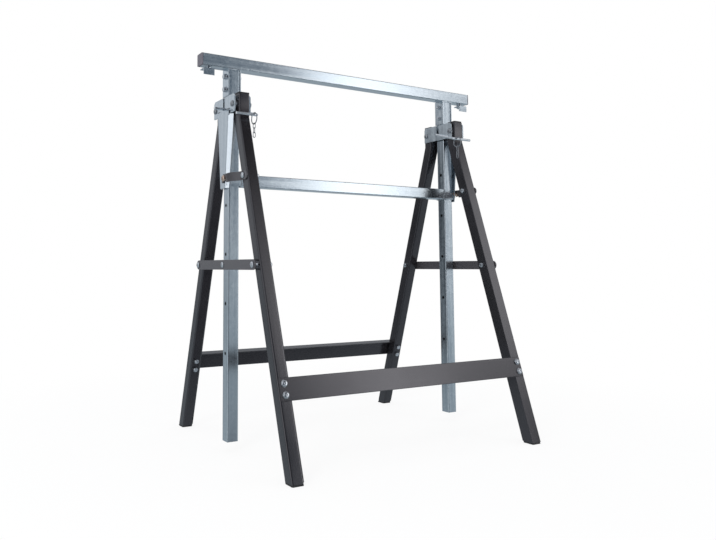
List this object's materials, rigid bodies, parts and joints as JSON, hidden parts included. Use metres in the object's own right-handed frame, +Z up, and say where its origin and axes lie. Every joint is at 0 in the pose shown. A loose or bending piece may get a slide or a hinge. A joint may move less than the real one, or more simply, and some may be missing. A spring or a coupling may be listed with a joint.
{
  "type": "builders trestle",
  "caption": "Folding steel trestle: a square beam on drilled telescoping posts, held by bent lock pins between hinged leg frames with folding straps and hook latches.",
  "frame": {"origin": "on the floor under the middle of the beam, at the bottom centre of the bounding box", "axes": "+Z up, X along the beam, -Y towards the leg frame that carries the latches"},
  "size_m": [0.73, 0.524, 0.803],
  "materials": {
    "galvanised_steel": "satin",
    "bright_zinc": "bright",
    "black_paint": "satin",
    "black_plastic": "matte",
    "grey_plastic": "matte"
  },
  "bodies": {
    "frame": {"guide_left": "galvanised_steel", "guide_right": "galvanised_steel", "head_plate_outer_left": "galvanised_steel", "head_plate_outer_right": "galvanised_steel", "head_plate_inner_left": "galvanised_steel", "head_plate_inner_right": "galvanised_steel", "collar_left": "bright_zinc", "collar_right": "bright_zinc", "cross_bar": "galvanised_steel", "pivots_left": "bright_zinc", "pivots_right": "bright_zinc", "latch_stud_left": "bright_zinc", "latch_stud_right": "bright_zinc"},
    "front_legs": {"front_leg_left": "black_paint", "front_leg_right": "black_paint", "front_rail": "black_paint", "front_rail_bolts": "bright_zinc", "front_foot_plugs": "black_plastic", "front_top_plugs": "black_plastic", "front_strap_bolts": "bright_zinc", "latch_bolts": "bright_zinc"},
    "rear_legs": {"rear_leg_left": "black_paint", "rear_leg_right": "black_paint", "rear_rail": "black_paint", "rear_rail_bolts": "bright_zinc", "rear_foot_plugs": "black_plastic", "rear_top_plugs": "black_plastic", "rear_strap_bolts": "bright_zinc"},
    "front_strap_l": {"front_strap_left": "black_paint", "strap_rivet_left": "bright_zinc"},
    "front_strap_r": {"front_strap_right": "black_paint", "strap_rivet_right": "bright_zinc"},
    "rear_strap_l": {"rear_strap_left": "black_paint"},
    "rear_strap_r": {"rear_strap_right": "black_paint"},
    "latch_l": {"latch_left": "black_paint"},
    "latch_r": {"latch_right": "black_paint"},
    "lift": {"post_left": "galvanised_steel", "post_right": "galvanised_steel", "beam": "galvanised_steel", "beam_caps": "grey_plastic", "saddle_left": "galvanised_steel", "saddle_right": "galvanised_steel", "saddle_bolts_left": "bright_zinc", "saddle_bolts_right": "bright_zinc", "end_hook_left": "galvanised_steel", "end_hook_right": "galvanised_steel", "hook_bolts": "bright_zinc"},
    "pin_l": {"lock_pin_left": "bright_zinc", "ring_left": "bright_zinc", "chain_left": "bright_zinc"},
    "pin_r": {"lock_pin_right": "bright_zinc", "ring_right": "bright_zinc", "chain_right": "bright_zinc"}
  },
  "joints": [
    {"name": "front_fold", "type": "hinge", "parent": "frame", "child": "front_legs", "pos_m": [0, -0.0415, 0.697], "axis": [1, 0, 0], "range_deg": [0, 15]},
    {"name": "rear_fold", "type": "hinge", "parent": "frame", "child": "rear_legs", "pos_m": [0, 0.0415, 0.697], "axis": [1, 0, 0], "range_deg": [-15, 0]},
    {"name": "front_strap_left_turn", "type": "hinge", "parent": "front_legs", "child": "front_strap_l", "pos_m": [-0.3095, -0.13342, 0.372], "axis": [1, 0, 0], "range_deg": [0, 55]},
    {"name": "front_strap_right_turn", "type": "hinge", "parent": "front_legs", "child": "front_strap_r", "pos_m": [0.3095, -0.13342, 0.372], "axis": [1, 0, 0], "range_deg": [0, 55]},
    {"name": "rear_strap_left_turn", "type": "hinge", "parent": "rear_legs", "child": "rear_strap_l", "pos_m": [-0.3061, 0.13342, 0.372], "axis": [1, 0, 0], "range_deg": [-55, 0]},
    {"name": "rear_strap_right_turn", "type": "hinge", "parent": "rear_legs", "child": "rear_strap_r", "pos_m": [0.3061, 0.13342, 0.372], "axis": [1, 0, 0], "range_deg": [-55, 0]},
    {"name": "latch_left_turn", "type": "hinge", "parent": "front_legs", "child": "latch_l", "pos_m": [-0.3145, -0.0791, 0.547], "axis": [1, 0, 0], "range_deg": [0, 75]},
    {"name": "latch_right_turn", "type": "hinge", "parent": "front_legs", "child": "latch_r", "pos_m": [0.3145, -0.0791, 0.547], "axis": [1, 0, 0], "range_deg": [0, 75]},
    {"name": "lift_slide", "type": "slide", "parent": "frame", "child": "lift", "axis": [0, 0, 1], "range_m": [0, 0.5]},
    {"name": "pin_left_pull", "type": "slide", "parent": "lift", "child": "pin_l", "axis": [1, 0, 0], "range_m": [0, 0.07]},
    {"name": "pin_right_pull", "type": "slide", "parent": "lift", "child": "pin_r", "axis": [-1, 0, 0], "range_m": [0, 0.07]}
  ],
  "couplings": [
    {"joint": "rear_fold", "follows": "front_fold", "ratio": -1},
    {"joint": "front_strap_left_turn", "follows": "front_fold", "ratio": 3.65},
    {"joint": "front_strap_right_turn", "follows": "front_fold", "ratio": 3.65},
    {"joint": "rear_strap_left_turn", "follows": "front_fold", "ratio": -3.65},
    {"joint": "rear_strap_right_turn", "follows": "front_fold", "ratio": -3.65},
    {"joint": "latch_left_turn", "follows": "front_fold", "ratio": 5},
    {"joint": "latch_right_turn", "follows": "front_fold", "ratio": 5}
  ]
}
